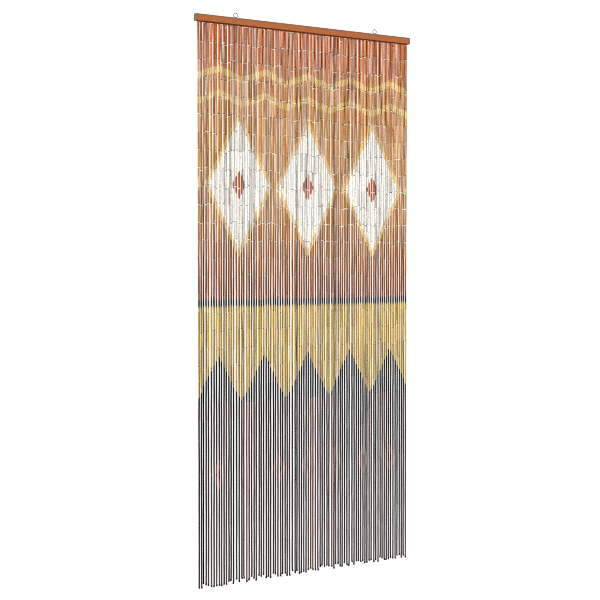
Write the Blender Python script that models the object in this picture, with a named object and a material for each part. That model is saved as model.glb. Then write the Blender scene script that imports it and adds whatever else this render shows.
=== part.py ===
"""A bamboo string door curtain hanging from its wooden rail.

Ninety strands of thin bamboo tubes hang side by side under a slim batten, which two steel screw eyes hold up.
X runs along the rail, -Y is the front and +Z is up. The origin lies midway between the centres of the two eyes'
rings. All sizes are in metres.
"""

import math
import random

import bmesh
import bpy

# The gap between pieces that touch on the real curtain.
SEAT_GAP = 0.0003

# The rail, a planed batten with softened edges.
RAIL_LENGTH = 0.900
RAIL_DEPTH = 0.014
RAIL_HEIGHT = 0.025
RAIL_EDGE_RADIUS = 0.0015
RAIL_EDGE_STEPS = 2

# The two screw eyes. Each ring stands in the rail's plane, so a hook enters it from the front.
EYE_SPACING = 0.584
EYE_RING_DIAMETER = 0.018
EYE_WIRE = 0.0022
EYE_SHANK_DEPTH = 0.0135
RING_STEPS = 24
WIRE_SIDES = 8
HOLE_SIDES = 12

# The row of strands, and their mean drop from the top of the rail to the end of the last wire loop.
CURTAIN_DROP = 2.000
STRAND_COUNT = 90
STRAND_FIELD = 0.872
STRAND_SIDE = 0.0052
WIRE_LOOP_WIDTH = 0.0024
TOP_LOOP_LENGTH = 0.0025
HEM_LOOP_LENGTH = 0.0090
SHOULDER = 0.0010

# The strip that the strands' top loops are pinned to, let into a groove under the rail.
STRIP_DEPTH = 0.0060
STRIP_HEIGHT = 0.0077
STRIP_OVERHANG = 0.0040

# How unevenly the strands hang. Neighbours lean together in small bunches, and wider gaps part the bunches.
HANG_SEED = 41
HOLE_SCATTER = 0.0012
BUNCH_STRANDS = (2, 7)
BUNCH_SQUEEZE = (0.0006, 0.0026)
BUNCH_SHIFT = 0.0012
HEM_SCATTER = 0.00035
LEAN_DEPTH = (0.25, 0.80)
SWAY = 0.0022
LENGTH_SCATTER = 0.009
STATIONS = (0.15, 0.35, 0.60, 1.0)

RAIL_TOP = -EYE_RING_DIAMETER / 2 - SEAT_GAP
RAIL_BOTTOM = RAIL_TOP - RAIL_HEIGHT
STRAND_PITCH = STRAND_FIELD / (STRAND_COUNT - 1)
STRIP_LENGTH = STRAND_FIELD + 2 * STRIP_OVERHANG


def clear_scene():
    for obj in list(bpy.data.objects):
        bpy.data.objects.remove(obj, do_unlink=True)


def finish(name, colour, roughness, metallic=0.0):
    """A Principled material in the piece's own colour."""
    material = bpy.data.materials.new(name)
    material.use_nodes = True
    shader = material.node_tree.nodes["Principled BSDF"]
    shader.inputs["Base Color"].default_value = (*colour, 1.0)
    shader.inputs["Roughness"].default_value = roughness
    shader.inputs["Metallic"].default_value = metallic
    material.diffuse_color = (*colour, 1.0)
    return material


def add_object(name, bm, material=None):
    """A new object that takes its mesh from bm."""
    mesh = bpy.data.meshes.new(name)
    bm.to_mesh(mesh)
    bm.free()
    if material:
        mesh.materials.append(material)
    obj = bpy.data.objects.new(name, mesh)
    bpy.context.scene.collection.objects.link(obj)
    return obj


def box(name, size, centre, material=None):
    """A box of the given size about centre, with the size in its mesh."""
    bm = bmesh.new()
    bmesh.ops.create_cube(bm, size=1.0)
    bmesh.ops.scale(bm, vec=size, verts=bm.verts)
    obj = add_object(name, bm, material)
    obj.location = centre
    return obj


def upright_rod(name, radius, sides, x, top, bottom):
    """A round rod standing on the rail's centre line."""
    bm = bmesh.new()
    bmesh.ops.create_cone(
        bm, cap_ends=True, segments=sides, radius1=radius, radius2=radius, depth=top - bottom
    )
    obj = add_object(name, bm)
    obj.location = (x, 0, (top + bottom) / 2)
    return obj


def combine(obj, operation, other):
    """Cuts other out of obj, or joins it to obj, and leaves other as a guide only."""
    step = obj.modifiers.new(other.name, "BOOLEAN")
    step.operation = operation
    step.object = other
    other.hide_render = True
    other.display_type = "WIRE"


def eye_places():
    return (("left", -EYE_SPACING / 2), ("right", EYE_SPACING / 2))


def rail(wood):
    """The batten, with a groove for the strip underneath and a hole on top for each screw eye."""
    size = (RAIL_LENGTH, RAIL_DEPTH, RAIL_HEIGHT)
    obj = box("rail", size, (0, 0, (RAIL_TOP + RAIL_BOTTOM) / 2), wood)
    soften = obj.modifiers.new("soft_edges", "BEVEL")
    soften.width = RAIL_EDGE_RADIUS
    soften.segments = RAIL_EDGE_STEPS
    groove = (STRIP_LENGTH + 2 * SEAT_GAP, STRIP_DEPTH + 2 * SEAT_GAP, 2 * (STRIP_HEIGHT + SEAT_GAP))
    combine(obj, "DIFFERENCE", box("groove_cutter", groove, (0, 0, RAIL_BOTTOM)))
    hole_radius = (EYE_WIRE / 2 + SEAT_GAP) / math.cos(math.pi / HOLE_SIDES)
    hole_bottom = RAIL_TOP - EYE_SHANK_DEPTH - SEAT_GAP
    for side, x in eye_places():
        cutter = upright_rod(f"hole_cutter_{side}", hole_radius, HOLE_SIDES, x, 0, hole_bottom)
        combine(obj, "DIFFERENCE", cutter)


def screw_eye(side, x, steel):
    """A ring bent from steel wire, whose shank stands in the rail's hole."""
    wire_radius = EYE_WIRE / 2
    bend_radius = EYE_RING_DIAMETER / 2 - wire_radius
    bm = bmesh.new()
    bmesh.ops.create_circle(bm, segments=WIRE_SIDES, radius=wire_radius)
    bmesh.ops.translate(bm, vec=(bend_radius, 0, 0), verts=bm.verts)
    bmesh.ops.spin(
        bm, geom=bm.verts[:] + bm.edges[:], cent=(0, 0, 0), axis=(0, 1, 0),
        angle=math.tau, steps=RING_STEPS, use_merge=True,
    )
    bmesh.ops.recalc_face_normals(bm, faces=bm.faces)
    ring = add_object(f"eye_{side}", bm, steel)
    ring.location = (x, 0, 0)
    shank_bottom = RAIL_TOP - EYE_SHANK_DEPTH
    shank = upright_rod(f"shank_{side}", wire_radius, WIRE_SIDES, x, -bend_radius, shank_bottom)
    combine(ring, "UNION", shank)
    ring.data.shade_smooth()


def bunch_sizes(chance):
    """How many neighbours lean together, bunch by bunch along the rail."""
    left = STRAND_COUNT
    while left:
        size = chance.randint(*BUNCH_STRANDS)
        if left - size < BUNCH_STRANDS[0]:
            size = left
        yield size
        left -= size


def hanging_strands():
    """Each strand's hole, its place at the hem in X and Y, the share of its length it leans in, and its end."""
    chance = random.Random(HANG_SEED)
    strands = []
    for size in bunch_sizes(chance):
        first = -STRAND_FIELD / 2 + len(strands) * STRAND_PITCH
        middle = first + (size - 1) * STRAND_PITCH / 2 + chance.uniform(-BUNCH_SHIFT, BUNCH_SHIFT)
        pitch = STRAND_PITCH - chance.uniform(*BUNCH_SQUEEZE) / (size - 1)
        lean = chance.uniform(*LEAN_DEPTH)
        for place in range(size):
            hole = first + place * STRAND_PITCH + chance.uniform(-HOLE_SCATTER, HOLE_SCATTER)
            hem_x = middle + (place - (size - 1) / 2) * pitch + chance.uniform(-HEM_SCATTER, HEM_SCATTER)
            hem_y = chance.uniform(-SWAY, SWAY)
            end = RAIL_TOP - CURTAIN_DROP + chance.uniform(-LENGTH_SCATTER, LENGTH_SCATTER)
            strands.append((hole, (hem_x, hem_y), lean, end))
    return strands


def strand_centre(strand, share):
    """The strand's X and Y at a share of the way down. It leans early and then hangs straight."""
    hole, hem, lean, _ = strand
    part = min(share / lean, 1.0)
    eased = part * (2 - part)
    return hole + (hem[0] - hole) * eased, hem[1] * share


def strip_and_roots(bm, strands):
    """The strip, as a grid with one small face under it for each strand. It returns those faces."""
    half_loop = WIRE_LOOP_WIDTH / 2
    lines = [-STRIP_LENGTH / 2]
    for hole, *_ in strands:
        lines += [hole - half_loop, hole + half_loop]
    lines.append(STRIP_LENGTH / 2)
    rows = (-STRIP_DEPTH / 2, -half_loop, half_loop, STRIP_DEPTH / 2)
    under = [[bm.verts.new((x, y, RAIL_BOTTOM)) for y in rows] for x in lines]
    over = [[bm.verts.new((x, y, RAIL_BOTTOM + STRIP_HEIGHT)) for y in (rows[0], rows[-1])] for x in lines]
    roots = []
    for column in range(len(lines) - 1):
        a, b = under[column], under[column + 1]
        c, d = over[column], over[column + 1]
        faces = [bm.faces.new((a[row], a[row + 1], b[row + 1], b[row])) for row in range(len(rows) - 1)]
        if column % 2:
            roots.append(faces[1])
        bm.faces.new((c[0], d[0], d[1], c[1]))
        bm.faces.new((a[0], b[0], d[0], c[0]))
        bm.faces.new((a[-1], c[1], d[1], b[-1]))
    bm.faces.new((*under[0], over[0][1], over[0][0]))
    bm.faces.new((*reversed(under[-1]), over[-1][0], over[-1][1]))
    return roots


def draw_down(bm, face, centre, side, z):
    """Extrudes a level square face down to z, about centre and with the given side. It returns the new end."""
    end = bmesh.ops.extrude_discrete_faces(bm, faces=[face])["faces"][0]
    middle = end.calc_center_median()
    for vert in end.verts:
        vert.co.x = centre[0] + math.copysign(side / 2, vert.co.x - middle.x)
        vert.co.y = centre[1] + math.copysign(side / 2, vert.co.y - middle.y)
        vert.co.z = z
    return end


def grow_strand(bm, root, strand):
    """One strand, from the bare wire under the rail to the wire loop at the hem."""
    top = RAIL_BOTTOM - TOP_LOOP_LENGTH - SHOULDER
    bottom = strand[-1] + HEM_LOOP_LENGTH + SHOULDER
    start, end = strand_centre(strand, 0.0), strand_centre(strand, 1.0)
    face = draw_down(bm, root, start, WIRE_LOOP_WIDTH, top + SHOULDER)
    face = draw_down(bm, face, start, STRAND_SIDE, top)
    for share in STATIONS:
        face = draw_down(bm, face, strand_centre(strand, share), STRAND_SIDE, top + (bottom - top) * share)
    face = draw_down(bm, face, end, WIRE_LOOP_WIDTH, bottom - SHOULDER)
    draw_down(bm, face, end, WIRE_LOOP_WIDTH, strand[-1])


def strand_row(bamboo):
    """All the strands, standing apart but for their roots in the strip."""
    strands = hanging_strands()
    bm = bmesh.new()
    for root, strand in zip(strip_and_roots(bm, strands), strands):
        grow_strand(bm, root, strand)
    bmesh.ops.recalc_face_normals(bm, faces=bm.faces)
    add_object("strands", bm, bamboo)


def main():
    clear_scene()
    steel = finish("zinc_plated_steel", (0.42, 0.41, 0.39), 0.35, 1.0)
    rail(finish("stained_pine", (0.46, 0.15, 0.052), 0.5))
    for side, x in eye_places():
        screw_eye(side, x, steel)
    strand_row(finish("painted_bamboo", (0.45, 0.20, 0.08), 0.55))


main()
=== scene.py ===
"""The finished look of a bamboo string door curtain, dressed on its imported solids.

All sizes are in metres unless a name says otherwise. X runs along the rail, -Y is the front and +Z is up.
"""

import math
import random

import bpy
import numpy as np
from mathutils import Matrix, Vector


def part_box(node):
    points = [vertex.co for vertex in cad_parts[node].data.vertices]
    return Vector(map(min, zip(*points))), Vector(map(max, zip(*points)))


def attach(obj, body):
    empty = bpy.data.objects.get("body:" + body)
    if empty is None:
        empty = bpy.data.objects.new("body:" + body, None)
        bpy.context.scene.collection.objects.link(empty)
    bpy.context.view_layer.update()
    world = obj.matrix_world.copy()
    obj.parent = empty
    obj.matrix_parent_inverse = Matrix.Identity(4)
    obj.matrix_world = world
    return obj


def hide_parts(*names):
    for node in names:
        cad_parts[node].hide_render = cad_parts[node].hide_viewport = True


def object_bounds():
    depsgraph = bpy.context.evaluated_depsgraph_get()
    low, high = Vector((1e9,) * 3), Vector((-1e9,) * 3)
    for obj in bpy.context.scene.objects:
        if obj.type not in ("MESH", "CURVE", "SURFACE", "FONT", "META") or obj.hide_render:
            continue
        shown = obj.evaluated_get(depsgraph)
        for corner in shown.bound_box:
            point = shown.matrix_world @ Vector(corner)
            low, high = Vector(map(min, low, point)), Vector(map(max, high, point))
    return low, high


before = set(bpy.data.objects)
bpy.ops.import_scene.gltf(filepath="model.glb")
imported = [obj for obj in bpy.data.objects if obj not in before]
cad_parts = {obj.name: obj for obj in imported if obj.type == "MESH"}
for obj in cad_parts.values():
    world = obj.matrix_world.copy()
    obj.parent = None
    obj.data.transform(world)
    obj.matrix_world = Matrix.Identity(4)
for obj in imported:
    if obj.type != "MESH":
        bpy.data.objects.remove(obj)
cad_low, cad_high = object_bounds()


# The rail is a slim pine batten, planed on four sides, with its arrises and ends sanded round by hand. A
# groove along its underside takes the lath that holds the strands. It is stained orange brown and varnished.
rail_low, rail_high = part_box("rail")
strands_low, strands_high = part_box("strands")
RAIL_CORNER = 0.0016
RAIL_END_ROUND = 0.0026
CORNER_STEPS = 4
END_STEPS = 5
RAIL_STATIONS = 60
RAIL_WANDER = 0.00015
GROOVE_WIDTH = 0.0066
GROOVE_END = strands_high.x + 0.0003
GROOVE_DEPTH = strands_high.z - rail_low.z + 0.0003
CAP_LEVEL = 0.94


def rod_faces(rings, sides, levels):
    """The faces of a rod made of rings of corners, and each face's place on a unit square of the baked map.

    levels holds the height on the map of each line of corners. A rod with one level more than it has rings is
    hollow, and its last ring is joined to its first. Any other rod is capped at both ends.
    """
    quads, cells = [], []
    for band, (upper, lower) in enumerate(zip(levels, levels[1:])):
        near, far = band * sides, (band + 1) % rings * sides
        for side in range(sides):
            following = (side + 1) % sides
            left, right = side / sides, (side + 1) / sides
            quads.append((near + side, far + side, far + following, near + following))
            cells.append(((left, upper), (left, lower), (right, lower), (right, upper)))
    if len(levels) > rings:
        return np.array(quads), np.array(cells)
    rows = sides // 2 - 1
    for start, way, edge in ((0, 1, 0.0), ((rings - 1) * sides, -1, 0.5)):
        for row in range(rows):
            quad = (row, row + 1, sides - 2 - row, sides - 1 - row)[::way]
            left, right = edge + 0.5 * row / rows, edge + 0.5 * (row + 1) / rows
            quads.append([start + corner for corner in quad])
            cells.append(((left, 1), (right, 1), (right, CAP_LEVEL + 0.01), (left, CAP_LEVEL + 0.01))[::way])
    return np.array(quads), np.array(cells)


def add_object(name, points, quads, cells, columns=1):
    """Many copies of one form as a smooth-shaded object, each with a place of its own on the baked map."""
    copies, corners, _ = points.shape
    faces = (quads[None] + corners * np.arange(copies)[:, None, None]).reshape(-1, 4)
    mesh = bpy.data.meshes.new(name)
    mesh.from_pydata(points.reshape(-1, 3).tolist(), [], faces.tolist())
    rows = math.ceil(copies / columns)
    number = np.arange(copies)
    squares = np.stack([number % columns, number // columns], axis=1)[:, None, None]
    places = (squares + 0.04 + 0.92 * cells[None]) / (columns, rows)
    flat = mesh.uv_layers.new(name="OFBake")
    flat.data.foreach_set("uv", places.astype(np.float32).ravel())
    mesh.shade_smooth()
    mesh.set_sharp_from_angle(angle=math.radians(42))
    obj = bpy.data.objects.new(name, mesh)
    bpy.context.scene.collection.objects.link(obj)
    return obj


def rail_outline():
    """The batten's outline in Y and Z about its middle, and which corners lie at the groove's bottom."""
    half_depth = (rail_high.y - rail_low.y) / 2
    half_height = (rail_high.z - rail_low.z) / 2
    outline = []
    for corner, (way_y, way_z) in enumerate(((1, 1), (-1, 1), (-1, -1), (1, -1))):
        if corner == 3:
            for way, deep in ((-1, 0), (-1, 1), (1, 1), (1, 0)):
                outline.append((way * GROOVE_WIDTH / 2, -half_height, deep))
        for step in range(CORNER_STEPS + 1):
            angle = math.radians(90 * (corner + step / CORNER_STEPS))
            y = way_y * (half_depth - RAIL_CORNER) + RAIL_CORNER * math.cos(angle)
            z = way_z * (half_height - RAIL_CORNER) + RAIL_CORNER * math.sin(angle)
            outline.append((y, z, 0))
    return np.array(outline)


def rail_stations():
    """Places along the batten from right to left, how far its outline draws in, and if it is grooved."""
    end = [(rail_high.x, RAIL_END_ROUND, 0)]
    for step in range(1, END_STEPS + 1):
        angle = math.radians(90 * step / END_STEPS)
        end.append((
            rail_high.x - RAIL_END_ROUND * (1 - math.cos(angle)), RAIL_END_ROUND * (1 - math.sin(angle)), 0
        ))
    end += [(GROOVE_END + 0.00005, 0, 0), (GROOVE_END, 0, 1)]
    middle = [(x, 0, 1) for x in np.linspace(GROOVE_END, -GROOVE_END, RAIL_STATIONS)[1:-1]]
    return end + middle + [(-x, inset, cut) for x, inset, cut in reversed(end)]


def rail_batten():
    """The batten, with a slight wander along its length from planing."""
    outline = rail_outline()
    reach = np.abs(outline[:, :2]).max(axis=0)
    centre_z = (rail_low.z + rail_high.z) / 2
    chance = random.Random(7)
    bends = [(chance.uniform(4, 14), chance.uniform(0, math.tau)) for _ in range(6)]
    stations = rail_stations()
    points = []
    for x, inset, cut in stations:
        wander = RAIL_WANDER * sum(math.sin(rate * x + start) for rate, start in bends) / len(bends)
        y = outline[:, 0] * (1 - inset / reach[0]) + wander
        z = centre_z + outline[:, 1] * (1 - inset / reach[1]) + outline[:, 2] * cut * GROOVE_DEPTH
        points.append(np.stack([np.full(len(outline), x), y, z], axis=1))
    levels = [CAP_LEVEL * (0.5 + x / (2 * rail_high.x)) for x, _, _ in stations]
    quads, cells = rod_faces(len(points), len(outline), levels)
    return add_object("rail_batten", np.concatenate(points)[None], quads, cells)


def colour(code):
    """A linear colour with alpha from an sRGB hex value."""
    channels = [int(code[place:place + 2], 16) / 255 for place in (0, 2, 4)]
    linear = [c / 12.92 if c <= 0.04045 else ((c + 0.055) / 1.055) ** 2.4 for c in channels]
    return (*linear, 1.0)


def add_node(tree, kind, inputs=None, stops=(), **settings):
    """Adds a shader node with its settings. A socket, by number or name, takes a value or an output."""
    node = tree.nodes.new("ShaderNode" + kind)
    for name, value in settings.items():
        setattr(node, name, value)
    for socket, value in (inputs or {}).items():
        if isinstance(value, bpy.types.Node):
            value = value.outputs[0]
        if isinstance(value, bpy.types.NodeSocket):
            tree.links.new(value, node.inputs[socket])
        else:
            node.inputs[socket].default_value = value
    for number, (place, shade) in enumerate(stops):
        elements = node.color_ramp.elements
        element = elements[number] if number < 2 else elements.new(place)
        element.position = place
        element.color = shade
    return node


def start_material(name, **constants):
    """A material with one Principled shader, whose constant sockets are set by name."""
    material = bpy.data.materials.new(name)
    material.use_nodes = True
    shader = material.node_tree.nodes["Principled BSDF"]
    for socket, value in constants.items():
        shader.inputs[socket.replace("_", " ").title().replace("Ior", "IOR")].default_value = value
    return material, material.node_tree, shader


# Stained pine under satin varnish: planing lays the yearly rings bare as long soft streaks that are 2 to 3 mm
# apart, and the varnish gives a low even gloss. The stain sinks deeper into the end grain, which turns dark.
# Painted shade darkens the underside and the lower arris, and paints the upper arris and the ends greyer
# and darker.
PINE_EARLY = "C4703A"
PINE_LATE = "A05226"
PINE_END_GRAIN = "604A38"
PINE_UNDERSIDE_SHADE = "7E3A12"
PINE_SHADE_BAND = 0.0026
PINE_SHADED_RIM = 0.0095
PINE_SHADED_END = 0.012
PINE_GREY_SHADE = "786048"
PINE_RING = 0.0026
PINE_FIBRE = 0.0005
PINE_FIBRE_LENGTH = 0.030


def stained_pine():
    material, tree, shader = start_material(
        "stained_pine_varnished", ior=1.5, coat_weight=0.05, coat_roughness=0.4
    )
    place = add_node(tree, "TexCoord").outputs["Object"]
    drift = add_node(tree, "Mapping", {"Vector": place, "Scale": (6, 40, 40)})
    wander = add_node(tree, "TexNoise", {"Vector": drift, "Scale": 1.0, "Detail": 2.0})
    shifted = add_node(tree, "Mapping", {
        "Vector": place, "Location": (0, 0.034, 0.07), "Scale": (0.02, 1 / PINE_RING, 1 / PINE_RING),
    })
    distance = add_node(tree, "VectorMath", {0: shifted}, operation="LENGTH").outputs["Value"]
    bent = add_node(tree, "Math", {0: wander, 1: 5.0, 2: distance}, operation="MULTIPLY_ADD")
    ring = add_node(tree, "Math", {0: bent}, operation="FRACT")
    streaks = add_node(
        tree, "Mapping", {"Vector": place, "Scale": (1 / PINE_FIBRE_LENGTH, 1 / PINE_FIBRE, 1 / PINE_FIBRE)}
    )
    fibre = add_node(tree, "TexNoise", {"Vector": streaks, "Scale": 1.0, "Detail": 4.0, "Roughness": 0.6})
    late_wood = add_node(
        tree, "ValToRGB", {0: ring},
        stops=((0.0, colour(PINE_EARLY)), (1.0, colour(PINE_EARLY)), (0.62, colour(PINE_EARLY)),
               (0.88, colour(PINE_LATE))),
    )
    grey = add_node(
        tree, "ValToRGB", {0: fibre}, stops=((0.3, (0.25, 0.25, 0.25, 1)), (0.72, (0.8, 0.8, 0.8, 1)))
    )
    streaked = add_node(
        tree, "Mix", {0: 0.55, 6: late_wood, 7: grey}, data_type="RGBA", blend_type="OVERLAY"
    ).outputs[2]
    along, _, height = add_node(tree, "SeparateXYZ", {0: place}).outputs
    # Painted shade: a dark band along the rail's underside and lower arris, which also darkens the lath below.
    over = add_node(tree, "Math", {0: height, 1: rail_low.z}, operation="SUBTRACT")
    off = add_node(tree, "Math", {0: over}, operation="ABSOLUTE")
    run = add_node(tree, "MapRange", {"Value": off, "From Min": PINE_SHADE_BAND, "From Max": 0.3 * PINE_SHADE_BAND})
    shaded_below = add_node(
        tree, "Mix", {0: run, 6: streaked, 7: colour(PINE_UNDERSIDE_SHADE)}, data_type="RGBA"
    ).outputs[2]
    # Painted shade: the upper arris and the ends are painted greyer and darker.
    shaded_rim = add_node(tree, "MapRange", {
        "Value": height, "From Min": rail_high.z - PINE_SHADED_RIM, "From Max": rail_high.z, "To Max": 0.85,
    })
    outwards = add_node(tree, "Math", {0: along}, operation="ABSOLUTE")
    shaded_end = add_node(tree, "MapRange", {
        "Value": outwards, "From Min": rail_high.x - PINE_SHADED_END, "From Max": rail_high.x, "To Max": 0.7,
    })
    rim_and_end_shade = add_node(tree, "Math", {0: shaded_rim, 1: shaded_end}, operation="MAXIMUM")
    shaded_rims = add_node(tree, "Mix", {0: rim_and_end_shade, 6: shaded_below, 7: colour(PINE_GREY_SHADE)}, data_type="RGBA").outputs[2]
    facing = add_node(tree, "SeparateXYZ", {0: add_node(tree, "NewGeometry").outputs["Normal"]})
    sideways = add_node(tree, "Math", {0: facing}, operation="ABSOLUTE")
    end_grain = add_node(tree, "MapRange", {"Value": sideways, "From Min": 0.15, "From Max": 0.6})
    sawn = add_node(
        tree, "Mix", {0: end_grain, 6: shaded_rims, 7: colour(PINE_END_GRAIN)}, data_type="RGBA"
    ).outputs[2]
    tree.links.new(sawn, shader.inputs["Base Color"])
    gloss = add_node(tree, "MapRange", {"Value": fibre, "To Min": 0.52, "To Max": 0.68})
    tree.links.new(gloss.outputs[0], shader.inputs["Roughness"])
    relief = add_node(tree, "Bump", {"Height": fibre, "Strength": 0.5, "Distance": 0.00012})
    tree.links.new(relief.outputs[0], shader.inputs["Normal"])
    return material


pine = stained_pine()
batten = rail_batten()
batten.data.materials.append(pine)
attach(batten, "root")
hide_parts("rail")


# The two screw eyes are bent from steel wire of 2.2 mm and zinc plated. The shank turns into the wood up to
# its neck and sweeps out into the ring, whose cut end stops just short of the neck.
EYE_WIRE = 0.0022
EYE_SIDES = 12
EYE_RING_STEPS = 44
EYE_NECK_STEPS = 8
EYE_RING_START = math.radians(-50)
EYE_RING_END = math.radians(261)
EYE_SWEEP_PULL = 0.45
EYE_NECK_SUNK = 0.0006


def route_points(*stretches):
    """A route in X and Z as one array, from stretches that share no points."""
    return np.array([point for stretch in stretches for point in stretch])


def arc(centre, radius, start, end, steps):
    """Points along a round bend in X and Z, without the first."""
    angles = np.linspace(start, end, steps + 1)[1:]
    return [(centre[0] + radius * math.cos(a), centre[1] + radius * math.sin(a)) for a in angles]


def bent_wire(route, diameter, sides):
    """A round wire along a route in X and Z: its corners, its faces, and their places on the baked map."""
    steps = np.gradient(route, axis=0)
    steps /= np.linalg.norm(steps, axis=1)[:, None]
    angles = np.arange(sides) * math.tau / sides + math.pi / sides
    out = diameter / 2 * np.cos(angles)
    points = np.empty((len(route), sides, 3))
    points[:, :, 0] = route[:, :1] + steps[:, 1:] * out
    points[:, :, 1] = -diameter / 2 * np.sin(angles)
    points[:, :, 2] = route[:, 1:] - steps[:, :1] * out
    run = np.concatenate([[0], np.cumsum(np.linalg.norm(np.diff(route, axis=0), axis=1))])
    levels = CAP_LEVEL * (1 - run / run[-1])
    return points.reshape(-1, 3), *rod_faces(len(route), sides, levels)


def screw_eye_route(bend_radius, shank_end, neck):
    """From the shank's foot in the wood, round the ring, to the wire's cut end beside the neck."""
    turn_in = Vector((bend_radius * math.cos(EYE_RING_START), bend_radius * math.sin(EYE_RING_START)))
    heading = Vector((-math.sin(EYE_RING_START), math.cos(EYE_RING_START)))
    start = Vector((0, neck))
    pull = EYE_SWEEP_PULL * (turn_in - start).length
    sweep = []
    for step in range(EYE_NECK_STEPS + 1):
        t = step / EYE_NECK_STEPS
        sweep.append(
            start * (1 - t) ** 3 + 3 * t * (1 - t) ** 2 * (start + Vector((0, pull)))
            + 3 * t * t * (1 - t) * (turn_in - heading * pull) + turn_in * t ** 3
        )
    ring = arc((0, 0), bend_radius, EYE_RING_START, EYE_RING_END, EYE_RING_STEPS)
    return route_points([(0, shank_end), (0, (shank_end + neck) / 2)], sweep, ring)


# Zinc plating over drawn steel wire: a dull grey metal with a soft gloss and faint cloudy patches 4 mm wide.
ZINC_BRIGHT = "8C8984"
ZINC_DULL = "5C5956"
ZINC_CLOUD = 0.004


def zinc_plate():
    material, tree, shader = start_material("zinc_plated_steel_wire", metallic=1.0)
    place = add_node(tree, "TexCoord").outputs["Object"]
    clouds = add_node(tree, "TexNoise", {"Vector": place, "Scale": 1 / ZINC_CLOUD, "Detail": 3.0})
    plate = add_node(
        tree, "ValToRGB", {0: clouds}, stops=((0.35, colour(ZINC_DULL)), (0.65, colour(ZINC_BRIGHT)))
    )
    tree.links.new(plate.outputs[0], shader.inputs["Base Color"])
    gloss = add_node(tree, "MapRange", {"Value": clouds, "To Min": 0.60, "To Max": 0.45})
    tree.links.new(gloss.outputs[0], shader.inputs["Roughness"])
    return material


zinc = zinc_plate()
for side in ("left", "right"):
    eye_low, eye_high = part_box(f"eye_{side}")
    bend = (eye_high.x - eye_low.x - EYE_WIRE) / 2
    centre = Vector(((eye_low.x + eye_high.x) / 2, 0, eye_high.z - EYE_WIRE / 2 - bend))
    route = screw_eye_route(bend, eye_low.z - centre.z, rail_high.z - centre.z - EYE_NECK_SUNK)
    corners, quads, cells = bent_wire(route, EYE_WIRE, EYE_SIDES)
    screw_eye = add_object(f"screw_eye_{side}", (corners + centre)[None], quads, cells)
    screw_eye.data.materials.append(zinc)
    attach(screw_eye, "root")
    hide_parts(f"eye_{side}")


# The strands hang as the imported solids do. The values down to LENGTH_SCATTER are those of the solids, and the
# same draws, in the same order, place each one's hole in the rail, its lean to its neighbours and its end.
STRAND_COUNT = 90
STRAND_FIELD = 0.872
STRAND_PITCH = STRAND_FIELD / (STRAND_COUNT - 1)
CURTAIN_DROP = 2.000
HANG_SEED = 41
HOLE_SCATTER = 0.0012
BUNCH_STRANDS = (2, 7)
BUNCH_SQUEEZE = (0.0006, 0.0026)
BUNCH_SHIFT = 0.0012
HEM_SCATTER = 0.00035
LEAN_DEPTH = (0.25, 0.80)
SWAY = 0.0022
LENGTH_SCATTER = 0.009

# The first tube starts just under the lath, which stands out of the rail, and the last tube ends on its coil.
LATH_STANDS_OUT = 0.0032
TUBE_UNDER_LATH = 0.0004
FIRST_TUBE = rail_low.z - LATH_STANDS_OUT - TUBE_UNDER_LATH
HEM_COIL_LENGTH = 0.0092
HEM_COIL = 0.0066


def bunch_sizes(chance):
    """How many neighbours lean together, bunch by bunch along the rail."""
    left = STRAND_COUNT
    while left:
        size = chance.randint(*BUNCH_STRANDS)
        if left - size < BUNCH_STRANDS[0]:
            size = left
        yield size
        left -= size


def hanging_strands():
    """Each strand's hole, its place at the hem in X and Y, what share of its length leans, and its end."""
    chance = random.Random(HANG_SEED)
    strands = []
    for size in bunch_sizes(chance):
        first = -STRAND_FIELD / 2 + len(strands) * STRAND_PITCH
        middle = first + (size - 1) * STRAND_PITCH / 2 + chance.uniform(-BUNCH_SHIFT, BUNCH_SHIFT)
        pitch = STRAND_PITCH - chance.uniform(*BUNCH_SQUEEZE) / (size - 1)
        lean = chance.uniform(*LEAN_DEPTH)
        for place in range(size):
            hole = first + place * STRAND_PITCH + chance.uniform(-HOLE_SCATTER, HOLE_SCATTER)
            hem_x = middle + (place - (size - 1) / 2) * pitch + chance.uniform(-HEM_SCATTER, HEM_SCATTER)
            hem_y = chance.uniform(-SWAY, SWAY)
            end = rail_high.z - CURTAIN_DROP + chance.uniform(-LENGTH_SCATTER, LENGTH_SCATTER)
            strands.append((hole, (hem_x, hem_y), lean, end))
    return strands


def strand_centre(strand, z):
    """A strand's X and Y at a height. It leans early and then hangs straight."""
    hole, hem, lean, end = strand
    share = min(max((FIRST_TUBE - z) / (FIRST_TUBE - end - HEM_COIL_LENGTH), 0.0), 1.0)
    part = min(share / lean, 1.0)
    eased = part * (2 - part)
    return hole + (hem[0] - hole) * eased, hem[1] * share


# Each strand is a row of bamboo tubes: thin culms sawn to about 63 mm, a little oval and bowed, and linked by
# wire. Each is as thick as its place leaves room for, and the thickest hang near the rail. The weight below
# draws a strand straight, so high up the tubes lean most, and low down the whole strand strays aside.
TUBES_IN_STRAND = 31
TUBE_DIAMETERS = (
    # depth below the rail, least, greatest
    (0.00, 0.0068, 0.0077),
    (0.90, 0.0058, 0.0062),
    (2.00, 0.0052, 0.0056),
)
TUBE_CLEARANCE = 0.0006
TUBE_SPREAD = 0.04
TUBE_BORE = (0.0030, 0.0034)
TUBE_SIDES = 12
TUBE_RIM = 0.00035
TUBE_RINGS = 7
OUTER_RINGS = 5
BORE_LEVELS = (1.0, 0.99, 0.58, 0.22, 0.21, 0.14, 0.07, 0.0)
TUBE_OVAL = 0.03
TUBE_TAPER = 0.02
TUBE_MIDDLE = (0.4, 0.6)
TUBE_BOW = 0.00022
TUBE_CUT_SLANT = 0.00015
LENGTH_SPREAD = 0.035
FIRST_TUBE_SPREAD = 0.09
SHORT_STARTS = (11, 38, 59, 83)
SHORT_TUBE = 0.20
LOW_DEPTH = 0.90
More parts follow.
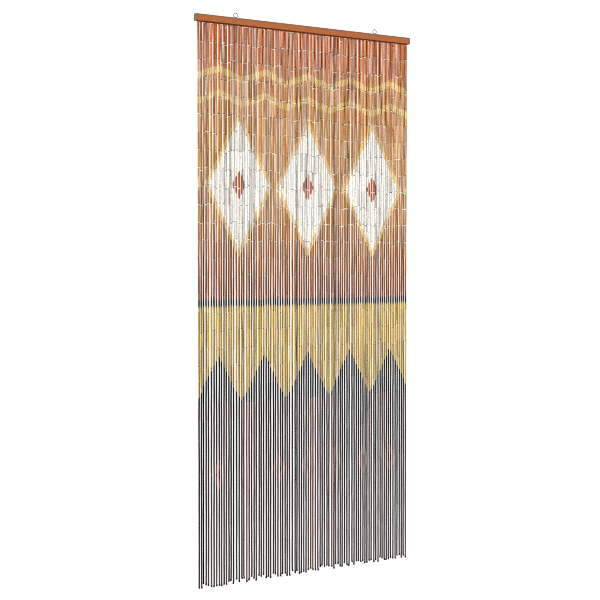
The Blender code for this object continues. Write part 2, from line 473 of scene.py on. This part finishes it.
JOINT_GAP_TOP = (0.0003, 0.0016)
JOINT_GAP_LOW = (0.0002, 0.0005)
JOINT_PLAY = (0.0008, 0.0003)
HEM_STRAY = 0.0024
ROOM_TAKEN = 0.42
STRANDS_IN_PIECE = 9


def room_aside(strands, number, z):
    """How far it is from a strand's middle to the middle of its nearest neighbour at a height."""
    neighbours = [strands[other] for other in (number - 1, number + 1) if 0 <= other < len(strands)]
    middle = strand_centre(strands[number], z)[0]
    return min(abs(strand_centre(other, z)[0] - middle) for other in neighbours)


def tube_diameter(z, room):
    """A tube's full diameter: the thickest bamboo that its place between its neighbours leaves room for."""
    depths, least, greatest = zip(*TUBE_DIAMETERS)
    depth = FIRST_TUBE - z
    return np.clip(room - TUBE_CLEARANCE, np.interp(depth, depths, least), np.interp(depth, depths, greatest))


def tube_bends(strands, number, chance):
    """The points where one strand's links bend, from under the rail to its last tube's lower end."""
    strand = strands[number]
    bottom = strand[3] + HEM_COIL_LENGTH
    lengths = 1 + chance.uniform(-LENGTH_SPREAD, LENGTH_SPREAD, TUBES_IN_STRAND)
    lengths[0] += chance.uniform(-FIRST_TUBE_SPREAD, FIRST_TUBE_SPREAD)
    if number in SHORT_STARTS:
        lengths = np.concatenate([[SHORT_TUBE], lengths])
    steps = lengths / lengths.sum() * (FIRST_TUBE - bottom)
    heights = FIRST_TUBE - np.concatenate([[0], np.cumsum(steps)])
    way = chance.uniform(-1, 1)
    bends = []
    for z in heights:
        x, y = strand_centre(strand, z)
        room = room_aside(strands, number, z)
        spare = ROOM_TAKEN * (room - max(tube_diameter(z, room), HEM_COIL))
        play = np.interp(z, (bottom, FIRST_TUBE), JOINT_PLAY[::-1])
        aside = min(play, spare)
        stray = way * min(np.interp(z, (bottom, FIRST_TUBE), (HEM_STRAY, 0)), spare - aside)
        bends.append((x + stray + chance.uniform(-aside, aside), y + chance.uniform(-play, play), z))
    return np.array(bends)


def tube_ends(bends, gaps):
    """The upper and lower end of each tube between two bends, half a gap away from each."""
    along = bends[:-1] - bends[1:]
    along /= np.linalg.norm(along, axis=1)[:, None]
    return bends[:-1] - along * gaps[:-1, None] / 2, bends[1:] + along * gaps[1:, None] / 2


def joint_gaps(bends, chance):
    """How wide each joint stands open: less and less down to LOW_DEPTH. There is none at a strand's ends."""
    share = np.minimum((FIRST_TUBE - bends[:, 2]) / LOW_DEPTH, 1)
    least, most = (top + (low - top) * share for top, low in zip(JOINT_GAP_TOP, JOINT_GAP_LOW))
    gaps = least + (most - least) * chance.uniform(0, 1, len(bends))
    gaps[[0, -1]] = 0
    return gaps


def tube_frames(tops, bottoms):
    """For each tube, three unit directions: to its right, to its back and up along it."""
    up = (tops - bottoms) / np.linalg.norm(tops - bottoms, axis=1)[:, None]
    right = np.cross((0, 1, 0), up)
    right /= np.linalg.norm(right, axis=1)[:, None]
    return np.stack([right, np.cross(up, right), up], axis=1)


def tube_corners(tops, bottoms, full, chance):
    """The corners of all tubes in their own directions: five rings down the outside, then two up the bore."""
    count = len(tops)
    length = np.linalg.norm(tops - bottoms, axis=1)[:, None, None]
    outer = full[:, None, None] * chance.uniform(1 - TUBE_SPREAD, 1, (count, 1, 1)) / 2
    bore = chance.uniform(*TUBE_BORE, (count, 1, 1)) / 2
    taper = chance.uniform(-TUBE_TAPER, TUBE_TAPER, (count, 1, 1))
    angles = np.arange(TUBE_SIDES) * math.tau / TUBE_SIDES
    turn = chance.uniform(0, math.tau, (count, 1, 1))
    zero = np.zeros((count, 1, 1))
    radii = np.concatenate([
        (outer - TUBE_RIM) * (1 + taper), outer * (1 + taper), outer,
        outer * (1 - taper), (outer - TUBE_RIM) * (1 - taper), bore, bore,
    ], axis=1)
    heights = np.concatenate([
        length, length - TUBE_RIM, length * chance.uniform(*TUBE_MIDDLE, (count, 1, 1)),
        zero + TUBE_RIM, zero, zero, length,
    ], axis=1)
    slanted = np.array([1, 1, 0, 1, 1, 1, 1])[None, :, None]
    slant = chance.uniform(-TUBE_CUT_SLANT, TUBE_CUT_SLANT, (count, 1, 1)) * np.cos(angles - turn)
    bowed = np.array([0, 0, 1, 0, 0, 0, 0])[None, :, None]
    bow = chance.uniform(-TUBE_BOW, TUBE_BOW, (count, 2, 1, 1)) * bowed
    rounding = 1 + TUBE_OVAL * np.cos(2 * (angles - turn))
    rounding = np.where(np.arange(TUBE_RINGS)[None, :, None] < OUTER_RINGS, rounding, 1.0)
    local = np.stack([
        radii * rounding * np.cos(angles) + bow[:, 0],
        radii * rounding * np.sin(angles) + bow[:, 1],
        heights + slant * slanted,
    ], axis=3)
    return local.reshape(count, -1, 3)


# Painted bamboo: water paint brushed over the sawn tubes, thin enough for the long fibres to show through. It
# dries nearly matt, and each tube takes it darker or paler. High up, some tubes have a bare straw-pale collar
# at the upper end, where the paint didn't reach, and a dark collar of painted shade at the lower end.
FIELD_BANDS = (
    # depth below the eyes, paint
    (0.03, "BA683A"),
    (0.14, "BC6E42"),
    (0.24, "BE7E44"),
    (0.45, "BC8242"),
    (0.70, "A66C2E"),
    (0.90, "884A1A"),
    (1.002, "783810"),
    (1.006, "28221F"),
    (1.030, "28221F"),
    (1.034, "AE8A18"),
    (1.366, "9A7810"),
    (1.370, "140E0D"),
    (1.60, "1F1716"),
    (2.04, "383130"),
)
FIELD_DEPTH = 2.05
OCHRE = "D4AA5E"
OFF_WHITE = "E4DED2"
CORE_TERRACOTTA = "A64E22"
DUSKY_ROSE = "5C3630"
BARE_STRAW = "F0DDB8"
FOOT_SHADE = 0.25
BRUSH_SOFTNESS = 0.0015
ZIGZAG_PERIOD = 0.18
ZIGZAG_RISE = 0.036
ZIGZAG_DEPTH = 0.235
ZIGZAG_APART = 0.085
ZIGZAG_WIDTH = 0.024
LOZENGE_PITCH = 0.28
LOZENGE_WIDTH = 0.24
LOZENGE_HEIGHT = 0.46
LOZENGE_DEPTH = 0.60
TOOTH_PITCH = 0.18
TOOTH_RISE = 0.17
TOOTH_FOOT = 1.370
DIAMOND_PITCH = 0.12
DIAMOND_WIDTH = 0.06
DIAMOND_HEIGHT = 0.11
DIAMOND_DEPTH = 1.62
ROSE_PATCH = 0.07
FIBRE = 0.00045
FIBRE_LENGTH = 0.016
COLLAR_RAGGED = 0.0012
COLLAR_EDGE = 0.0004
COLLAR_REACH = (-0.0026, 0.0026)
BARE_COLLARS_END = 0.80


def painted_pattern(tree):
    """The generic pattern of the paint, from where each spot hung while it was painted."""
    hung = add_node(tree, "Attribute", attribute_name="paint").outputs["Vector"]
    across, _, up = add_node(tree, "SeparateXYZ", {0: hung}).outputs

    # Charcoal teeth rise from the dark field into the ochre band: inside one, the band counts as lower.
    from_tooth = add_node(tree, "Math", {0: across, 1: TOOTH_PITCH / 2}, operation="PINGPONG")
    over_tooth = add_node(
        tree, "Math", {0: from_tooth, 1: 2 * TOOTH_RISE / TOOTH_PITCH, 2: up}, operation="MULTIPLY_ADD"
    )
    in_tooth = add_node(tree, "MapRange", {
        "Value": over_tooth,
        "From Min": TOOTH_RISE - TOOTH_FOOT + BRUSH_SOFTNESS,
        "From Max": TOOTH_RISE - TOOTH_FOOT - BRUSH_SOFTNESS,
    })
    below = add_node(tree, "Math", {0: up, 1: -TOOTH_FOOT - 0.01}, operation="MINIMUM")
    level = add_node(tree, "Mix", {0: in_tooth, 2: up, 3: below}, data_type="FLOAT")
    depth = add_node(tree, "Math", {0: level, 1: -1 / FIELD_DEPTH}, operation="MULTIPLY")
    field = add_node(
        tree, "ValToRGB", {0: depth}, stops=[(low / FIELD_DEPTH, colour(code)) for low, code in FIELD_BANDS]
    )

    # Two ochre zigzags under the rail.
    fold = add_node(tree, "Math", {0: across, 1: ZIGZAG_PERIOD / 2}, operation="PINGPONG")
    rise = add_node(
        tree, "Math", {0: fold, 1: 2 * ZIGZAG_RISE / ZIGZAG_PERIOD, 2: up}, operation="MULTIPLY_ADD"
    )
    middle = add_node(tree, "Math", {0: rise, 1: ZIGZAG_DEPTH}, operation="ADD")
    either = add_node(tree, "Math", {0: middle}, operation="ABSOLUTE")
    beside = add_node(tree, "Math", {0: either, 1: ZIGZAG_APART / 2}, operation="SUBTRACT")
    off_line = add_node(tree, "Math", {0: beside}, operation="ABSOLUTE")
    zigzag = add_node(tree, "MapRange", {
        "Value": off_line,
        "From Min": ZIGZAG_WIDTH / 2 + BRUSH_SOFTNESS,
        "From Max": ZIGZAG_WIDTH / 2 - BRUSH_SOFTNESS,
    })
    banded = add_node(tree, "Mix", {0: zigzag, 6: field, 7: colour(OCHRE)}, data_type="RGBA").outputs[2]

    # Three tall off-white lozenges with ochre rims, then a row of small rose ones low down.
    painted = banded
    for pitch, width, height, at, stops in (
        (LOZENGE_PITCH, LOZENGE_WIDTH, LOZENGE_HEIGHT, LOZENGE_DEPTH, (
            (0.105, CORE_TERRACOTTA, 1), (0.115, OFF_WHITE, 1), (0.485, OFF_WHITE, 1), (0.5, OCHRE, 1),
            (0.545, OCHRE, 1), (0.565, OCHRE, 0),
        )),
        (DIAMOND_PITCH, DIAMOND_WIDTH, DIAMOND_HEIGHT, DIAMOND_DEPTH, (
            (0.18, DUSKY_ROSE, 0), (0.22, DUSKY_ROSE, 1), (0.48, DUSKY_ROSE, 1), (0.52, DUSKY_ROSE, 0),
        )),
    ):
        aside = add_node(tree, "Math", {0: across, 1: pitch / 2}, operation="PINGPONG")
        above = add_node(tree, "Math", {0: up, 1: at}, operation="ADD")
        off = add_node(tree, "Math", {0: above}, operation="ABSOLUTE")
        share = add_node(tree, "Math", {0: off, 1: 1 / height}, operation="MULTIPLY")
        out = add_node(tree, "Math", {0: aside, 1: 1 / width, 2: share}, operation="MULTIPLY_ADD")
        shades = [(place, (*colour(code)[:3], alpha)) for place, code, alpha in stops]
        lozenge = add_node(tree, "ValToRGB", {0: out}, stops=shades)
        painted = add_node(
            tree, "Mix", {0: lozenge.outputs["Alpha"], 6: painted, 7: lozenge}, data_type="RGBA"
        ).outputs[2]

    # Rosy patches in the dark field, some strands wide.
    patch = add_node(
        tree, "TexNoise", {"W": across, "Scale": 1 / ROSE_PATCH, "Detail": 2.0}, noise_dimensions="1D"
    )
    rosy = add_node(tree, "MapRange", {"Value": patch, "From Min": 0.48, "From Max": 0.6, "To Max": 0.75})
    low = add_node(tree, "MapRange", {
        "Value": up, "From Min": -TOOTH_FOOT, "From Max": -TOOTH_FOOT - BRUSH_SOFTNESS * 2,
    })
    tinted = add_node(tree, "Math", {0: rosy, 1: low}, operation="MULTIPLY")
    return add_node(tree, "Mix", {0: tinted, 6: painted, 7: colour(DUSKY_ROSE)}, data_type="RGBA").outputs[2]


def collars(tree, fibre):
    """How far a spot lies in its tube's lower collar of painted shade and its pale upper one, both ragged with
    fibres.
    """
    past = add_node(tree, "Attribute", attribute_name="past_collars").outputs["Vector"]
    past_foot, past_head, _ = add_node(tree, "SeparateXYZ", {0: past}).outputs
    masks = []
    for distance in (past_foot, past_head):
        ragged = add_node(tree, "Math", {0: fibre, 1: -COLLAR_RAGGED, 2: distance}, operation="MULTIPLY_ADD")
        masks.append(add_node(tree, "MapRange", {"Value": ragged, "From Min": 0.0, "From Max": -COLLAR_EDGE}))
    return masks


def painted_bamboo():
    material, tree, shader = start_material("bamboo_painted_matt", ior=1.5, specular_ior_level=0.15)
    grain = add_node(tree, "Attribute", attribute_name="grain").outputs["Vector"]
    long_way = add_node(tree, "Mapping", {"Vector": grain, "Scale": (1 / FIBRE, 1 / FIBRE, 1 / FIBRE_LENGTH)})
    fibre = add_node(tree, "TexNoise", {"Vector": long_way, "Scale": 1.0, "Detail": 3.0, "Roughness": 0.6})
    tone = add_node(tree, "Attribute", attribute_name="tone").outputs["Vector"]
    hue, strength, value = add_node(tree, "SeparateXYZ", {0: tone}).outputs
    toned = add_node(tree, "HueSaturation", {
        "Hue": hue, "Saturation": strength, "Value": value, "Color": painted_pattern(tree),
    })
    foot_shade, bare = collars(tree, fibre)
    # Painted shade: inside the lower collar the paint is multiplied darker.
    run = add_node(
        tree, "Mix", {0: foot_shade, 6: toned, 7: (*[FOOT_SHADE] * 3, 1)},
        data_type="RGBA", blend_type="MULTIPLY",
    ).outputs[2]
    surface = add_node(tree, "Mix", {0: bare, 6: run, 7: colour(BARE_STRAW)}, data_type="RGBA").outputs[2]
    shade = add_node(
        tree, "ValToRGB", {0: fibre}, stops=((0.25, (0.62, 0.62, 0.62, 1)), (0.62, (1, 1, 1, 1)))
    )
    streaked = add_node(tree, "Mix", {0: 0.8, 6: surface, 7: shade}, data_type="RGBA", blend_type="MULTIPLY")
    tree.links.new(streaked.outputs[2], shader.inputs["Base Color"])
    gloss = add_node(tree, "MapRange", {"Value": fibre, "To Min": 0.70, "To Max": 0.50})
    tree.links.new(gloss.outputs[0], shader.inputs["Roughness"])
    relief = add_node(tree, "Bump", {"Height": fibre, "Strength": 0.6, "Distance": 0.00010})
    tree.links.new(relief.outputs[0], shader.inputs["Normal"])
    return material


# The pattern was painted on straight strands. Each strand has slipped by up to 3 mm since, and each tube by
# up to 1 mm more, which leaves the pattern's edges ragged. The tones are spreads high up, then low down.
PAINT_SLIP = 0.0030
TUBE_SLIP = 0.0010
OWN_TONES = (0.14, 0.05)
STRAND_TONES = (0.11, 0.38)


def add_attribute(mesh, name, vectors):
    """Gives each corner of a mesh a vector."""
    attribute = mesh.attributes.new(name, "FLOAT_VECTOR", "POINT")
    attribute.data.foreach_set("vector", vectors.astype(np.float32).ravel())


def tube_tones(high_up, owner, chance):
    """Each tube's hue, strength and brightness. High up the tubes differ most, and low down the strands."""
    count = len(owner)
    paler = np.maximum(chance.normal(0, 1, count), 0) * high_up
    own = chance.normal(0, np.where(high_up, *OWN_TONES))
    shared = chance.normal(0, 1, STRAND_COUNT)[owner] * np.where(high_up, *STRAND_TONES)
    return np.stack([
        0.5 + chance.uniform(-0.007, 0.007, count),
        np.clip(1.04 - 0.12 * paler, 0.5, 1.1),
        np.clip(0.96 + own + shared + 0.10 * paler, 0.35, 1.7),
    ], axis=1)


def strand_piece(number, strands, all_ends, chance):
    """The tubes of some neighbouring strands as one mesh, with what the paint needs at each corner."""
    members = range(number * STRANDS_IN_PIECE, (number + 1) * STRANDS_IN_PIECE)
    ends = [all_ends[member] for member in members]
    tops, bottoms = (np.concatenate(side) for side in zip(*ends))
    owner = np.concatenate([np.full(len(end[0]), member) for member, end in zip(members, ends)])
    count = len(tops)
    full = np.array([
        tube_diameter(top, min(room_aside(strands, member, top), room_aside(strands, member, bottom)))
        for member, top, bottom in zip(owner, tops[:, 2], bottoms[:, 2])
    ])
    local = tube_corners(tops, bottoms, full, chance)
    frames = tube_frames(tops, bottoms)
    placed = bottoms[:, None] + np.einsum("nvk,nkj->nvj", local, frames)
    quads, cells = rod_faces(TUBE_RINGS, TUBE_SIDES, BORE_LEVELS)
    piece = add_object(f"bamboo_strands_{number + 1:02d}", placed, quads, cells, columns=32)
    holes = np.array([strand[0] for strand in strands])[owner]
    slip = chance.uniform(-PAINT_SLIP, PAINT_SLIP, len(strands))[owner]
    slip = slip + chance.uniform(-TUBE_SLIP, TUBE_SLIP, count)
    axis = bottoms[:, None, :2] + (tops - bottoms)[:, None, :2] * 0.5
    paint = np.empty_like(placed)
    paint[:, :, 0] = holes[:, None] + placed[:, :, 0] - axis[:, :, 0]
    paint[:, :, 1] = placed[:, :, 1] - axis[:, :, 1]
    paint[:, :, 2] = placed[:, :, 2] + slip[:, None]
    add_attribute(piece.data, "paint", paint)
    grain = local + chance.uniform(0, 1, (count, 1, 3))
    add_attribute(piece.data, "grain", grain)
    high_up = tops[:, 2] > -TOOTH_FOOT
    tone = tube_tones(high_up, owner, chance)
    add_attribute(piece.data, "tone", np.repeat(tone[:, None], local.shape[1], axis=1))
    length = np.linalg.norm(tops - bottoms, axis=1)[:, None]
    reach = chance.uniform(*COLLAR_REACH, (2, count))
    reach[0, ~high_up] = COLLAR_REACH[0]
    reach[1, tops[:, 2] < -BARE_COLLARS_END] = COLLAR_REACH[0]
    reach = reach[:, :, None]
    past = np.zeros_like(local)
    past[:, :, 0] = local[:, :, 2] - reach[0]
    past[:, :, 1] = length - local[:, :, 2] - reach[1]
    add_attribute(piece.data, "past_collars", past)
    return piece


chance = np.random.default_rng(12)
strands = hanging_strands()
all_bends = [tube_bends(strands, number, chance) for number in range(STRAND_COUNT)]
all_ends = [tube_ends(bends, joint_gaps(bends, chance)) for bends in all_bends]
bamboo = painted_bamboo()
for number in range(STRAND_COUNT // STRANDS_IN_PIECE):
    piece = strand_piece(number, strands, all_ends, chance)
    piece.data.materials.append(bamboo)
    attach(piece, "root")
    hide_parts("strands")


# The links are soft iron wire of 0.7 mm. One runs through each tube and is bent into a small eye at each end,
# and the eyes of neighbouring tubes hook through each other at right angles. Of the wire in a tube only the
# 3 mm next to each eye are modelled, because the rest can't be seen.
LINK_WIRE = 0.0007
LINK_EYE = 0.0026
LINK_SIDES = 4
LINK_RING_STEPS = 7
LINK_TAIL = 0.0030
LINK_PIECES = 5
HOOKED_REACH = LINK_EYE / 2 - LINK_WIRE


def link_route():
    """One eye with its stem: X is to its side, and Z leads out of the tube. The eye's middle is at 0."""
    radius = (LINK_EYE - LINK_WIRE) / 2
    ring = arc((0, 0), radius, math.radians(-78), math.radians(238), LINK_RING_STEPS)
    return route_points([(0, -radius - LINK_TAIL)], [(0.0002, -radius)], ring)


def link_eyes(tops, bottoms, chance):
    """Each eye's middle and its three directions: both eyes of each joint, square to each other."""
    joint = (tops[1:] + bottoms[:-1]) / 2
    up = bottoms[:-1] - tops[1:]
    up /= np.linalg.norm(up, axis=1)[:, None]
    turn = chance.uniform(0, math.tau, len(joint))
    lateral = np.stack([np.cos(turn), np.sin(turn), np.zeros(len(joint))], axis=1)
    lateral -= up * (lateral * up).sum(axis=1)[:, None]
    lateral /= np.linalg.norm(lateral, axis=1)[:, None]
    square = np.cross(up, lateral)
    hanging = np.stack([lateral, np.cross(-up, lateral), -up], axis=1)
    standing = np.stack([square, np.cross(up, square), up], axis=1)
    places = np.concatenate([joint + up * HOOKED_REACH, joint - up * HOOKED_REACH])
    return places, np.concatenate([hanging, standing])


# Annealed iron wire: drawn, then softened by heat, which leaves a near black, dull scale with brown specks of
# rust. The specks are drawn 1 mm wide, coarser than the real ones, so that they show.
IRON_SCALE = "1E1C1B"
IRON_RUST = "3A2619"
IRON_SPECK = 0.001


def annealed_iron():
    material, tree, shader = start_material("annealed_iron_wire", metallic=0.8, roughness=0.5)
    place = add_node(tree, "TexCoord").outputs["Object"]
    specks = add_node(tree, "TexNoise", {"Vector": place, "Scale": 1 / IRON_SPECK, "Detail": 2.0})
    scale = add_node(
        tree, "ValToRGB", {0: specks}, stops=((0.5, colour(IRON_SCALE)), (0.68, colour(IRON_RUST)))
    )
    tree.links.new(scale.outputs[0], shader.inputs["Base Color"])
    return material


iron = annealed_iron()
corners, quads, cells = bent_wire(link_route(), LINK_WIRE, LINK_SIDES)
for number in range(LINK_PIECES):
    share = STRAND_COUNT // LINK_PIECES
    found = [
        link_eyes(*all_ends[member], chance) for member in range(number * share, (number + 1) * share)
    ]
    places, directions = (np.concatenate(side) for side in zip(*found))
    placed = places[:, None] + np.einsum("vk,nkj->nvj", corners, directions)
    links = add_object(f"link_wires_{number + 1}", placed, quads, cells, columns=36)
    links.data.materials.append(iron)
    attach(links, "root")
    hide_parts("strands")


# A lath in the rail's groove pins the top loops of the strands. It is split pine with eased edges, stained
# with the rail. It stands 3 mm out of the groove, and the pine's band of painted shade along the rail's
# underside darkens it, so it shows as a dark line under the rail.
LATH_CORNER = 0.0006
LATH_DEPTH = 0.0060
LATH_STATIONS = 40


def lath():
    half, low, high = LATH_DEPTH / 2, rail_low.z - LATH_STANDS_OUT, strands_high.z
    outline = np.array([
        (half, high - LATH_CORNER), (half - LATH_CORNER, high), (LATH_CORNER - half, high),
        (-half, high - LATH_CORNER), (-half, low + LATH_CORNER), (LATH_CORNER - half, low),
        (half - LATH_CORNER, low), (half, low + LATH_CORNER),
    ])
    stations = np.linspace(strands_high.x, strands_low.x, LATH_STATIONS)
    points = np.array([[(x, y, z) for y, z in outline] for x in stations])
    levels = CAP_LEVEL * (stations - stations[-1]) / (stations[0] - stations[-1])
    quads, cells = rod_faces(len(stations), len(outline), levels)
    return add_object("strand_lath", points.reshape(1, -1, 3), quads, cells)


strip = lath()
strip.data.materials.append(pine)
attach(strip, "root")
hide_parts("strands")


# Above its first tube each strand ends in a wire hairpin that goes up into the lath. Below its last tube
# thicker wire is wound into a small coil, wider than the bore, which keeps the tubes on and hangs askew.
HEAD_RISE = 0.0045
HEAD_HALF_WIDTH = 0.0007
HEAD_BEND_STEPS = 6
HEAD_TILT = 0.02
HEM_WIRE = 0.0015
HEM_SIDES = 6
HEM_TURNS = 5.5
HEM_TURN_STEPS = 9
HEM_TILT = 0.4


def wound_coil(length):
    """A wire coil: its corners, its faces, and their places on the baked map. Z leads away from the tube."""
    rings = round(HEM_TURNS * HEM_TURN_STEPS) + 1
    turned = np.linspace(0, HEM_TURNS * math.tau, rings)[:, None]
    round_wire = np.arange(HEM_SIDES) * math.tau / HEM_SIDES
    reach = (HEM_COIL - HEM_WIRE) / 2 + HEM_WIRE / 2 * np.cos(round_wire)
    middles = np.linspace(HEM_WIRE / 2, length - HEM_WIRE / 2, rings)[:, None]
    along = middles + HEM_WIRE / 2 * np.sin(round_wire)
    points = np.stack([reach * np.cos(turned), reach * np.sin(turned), along], axis=2)
    return points.reshape(-1, 3), *rod_faces(rings, HEM_SIDES, CAP_LEVEL * np.linspace(1, 0, rings))


def head_route():
    """A hairpin that leads out of the first tube and up into the lath."""
    bend = arc((0, HEAD_RISE), HEAD_HALF_WIDTH, 0, math.pi, HEAD_BEND_STEPS)
    legs = ((HEAD_HALF_WIDTH, -LINK_TAIL), (HEAD_HALF_WIDTH, HEAD_RISE))
    return route_points(legs, bend, [(-HEAD_HALF_WIDTH, -LINK_TAIL)])


def turned_frames(axes, chance, tilt):
    """Three directions for each axis, turned about it by chance and tilted forward or back by up to tilt."""
    turn = chance.uniform(0, math.tau, len(axes))
    out = axes + np.outer(chance.uniform(-tilt, tilt, len(axes)), (0, 1, 0))
    out /= np.linalg.norm(out, axis=1)[:, None]
    lateral = np.stack([np.cos(turn), np.sin(turn), np.zeros(len(axes))], axis=1)
    lateral -= out * (lateral * out).sum(axis=1)[:, None]
    lateral /= np.linalg.norm(lateral, axis=1)[:, None]
    return np.stack([lateral, np.cross(out, lateral), out], axis=1)


heads, feet = [], []
for tops, bottoms in all_ends:
    heads.append((tops[0], tops[0] - bottoms[0]))
    feet.append((bottoms[-1], bottoms[-1] - tops[-1]))
head_places, head_axes = (np.array(side) for side in zip(*heads))
head_axes /= np.linalg.norm(head_axes, axis=1)[:, None]
corners, quads, cells = bent_wire(head_route(), LINK_WIRE, HEM_SIDES)
placed = head_places[:, None] + np.einsum("vk,nkj->nvj", corners, turned_frames(head_axes, chance, HEAD_TILT))
head_wires = add_object("head_wires", placed, quads, cells, columns=10)
foot_places, foot_axes = (np.array(side) for side in zip(*feet))
foot_axes /= np.linalg.norm(foot_axes, axis=1)[:, None]
corners, quads, cells = wound_coil(HEM_COIL_LENGTH)
placed = foot_places[:, None] + np.einsum("vk,nkj->nvj", corners, turned_frames(foot_axes, chance, HEM_TILT))
hem_coils = add_object("hem_coils", placed, quads, cells, columns=10)
for piece in (head_wires, hem_coils):
    piece.data.materials.append(iron)
    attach(piece, "root")
    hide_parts("strands")


# The stage is a pale paper floor a little below the hem, under soft studio light against white. The floor
# throws light back up at the curtain, but the camera sees it as plain white, like what is behind it.
FLOOR_DROP = 0.02
FLOOR_SIZE = 30.0
FLOOR_PALE = "E6E6E6"
FLOOR_GRIT = "DEDEDE"


def pale_floor():
    half = FLOOR_SIZE / 2
    mesh = bpy.data.meshes.new("studio_floor")
    corners = [(-half, -half, 0), (half, -half, 0), (half, half, 0), (-half, half, 0)]
    mesh.from_pydata(corners, [], [(0, 1, 2, 3)])
    material, tree, shader = start_material("studio_paper", roughness=0.9, specular_ior_level=0.1)
    grit = add_node(tree, "TexNoise", {"Scale": 30.0, "Detail": 2.0})
    pale = add_node(tree, "ValToRGB", {0: grit}, stops=((0.0, colour(FLOOR_GRIT)), (1.0, colour(FLOOR_PALE))))
    tree.links.new(pale.outputs[0], shader.inputs["Base Color"])
    seen = add_node(tree, "LightPath").outputs["Is Camera Ray"]
    white = add_node(tree, "Emission", {"Color": (1, 1, 1, 1), "Strength": 1.0})
    either = add_node(tree, "MixShader", {0: seen, 1: shader, 2: white})
    tree.links.new(either.outputs[0], tree.nodes["Material Output"].inputs["Surface"])
    mesh.materials.append(material)
    floor = bpy.data.objects.new("studio_floor", mesh)
    floor.location.z = cad_low.z - FLOOR_DROP
    bpy.context.scene.collection.objects.link(floor)
    return floor


def studio_sun(name, strength, width_degrees, towards):
    """A broad soft lamp whose light comes from the direction towards, a vector to the lamp."""
    lamp = bpy.data.lights.new(name, "SUN")
    lamp.energy = strength
    lamp.angle = math.radians(width_degrees)
    obj = bpy.data.objects.new(name, lamp)
    obj.rotation_mode = "QUATERNION"
    obj.rotation_quaternion = Vector(towards).to_track_quat("Z", "Y")
    bpy.context.scene.collection.objects.link(obj)


def studio_world():
    """White behind the object for the camera, and a softer white as the light from all round."""
    world = bpy.data.worlds.new("studio_white")
    world.use_nodes = True
    tree = world.node_tree
    seen = add_node(tree, "LightPath").outputs["Is Camera Ray"]
    level = add_node(tree, "MapRange", {"Value": seen, "To Min": 0.08, "To Max": 1.0})
    background = tree.nodes["Background"]
    background.inputs["Color"].default_value = (1, 1, 1, 1)
    tree.links.new(level.outputs[0], background.inputs["Strength"])
    bpy.context.scene.world = world


pale_floor()
studio_sun("key_light", 5.9, 20, (-0.95, -0.36, 0.48))
studio_sun("back_light", 0.5, 40, (0.5, 0.8, 0.6))
studio_world()
bpy.context.scene.view_settings.view_transform = "Standard"


# The camera stands to the left, a little above half the curtain's height, and looks almost level, as the
# photograph does. The picture is a square, shifted down so that the hem stays in view.
CAMERA_YAW = math.radians(29.07)
CAMERA_PITCH = math.radians(0.6)
CAMERA_DISTANCE = 4.100
CAMERA_ASIDE = 0.0275
CAMERA_BELOW_RAIL = 0.8552
CAMERA_LENS_MM = 67.0
CAMERA_SHIFT = -0.0475


def photograph_camera():
    forward = Vector((math.sin(CAMERA_YAW), math.cos(CAMERA_YAW), 0))
    right = Vector((math.cos(CAMERA_YAW), -math.sin(CAMERA_YAW), 0))
    lens = bpy.data.cameras.new("photograph_camera")
    lens.lens = CAMERA_LENS_MM
    lens.shift_y = CAMERA_SHIFT
    camera = bpy.data.objects.new("photograph_camera", lens)
    camera.location = -CAMERA_ASIDE * right - CAMERA_DISTANCE * forward
    camera.location.z = rail_high.z - CAMERA_BELOW_RAIL
    camera.rotation_euler = (math.pi / 2 - CAMERA_PITCH, 0, -CAMERA_YAW)
    bpy.context.scene.collection.objects.link(camera)
    bpy.context.scene.camera = camera


photograph_camera()

# The photograph is crisp though each strand is two or three pixels wide, so the pixel filter is narrow too.
bpy.context.scene.cycles.filter_width = 1.0
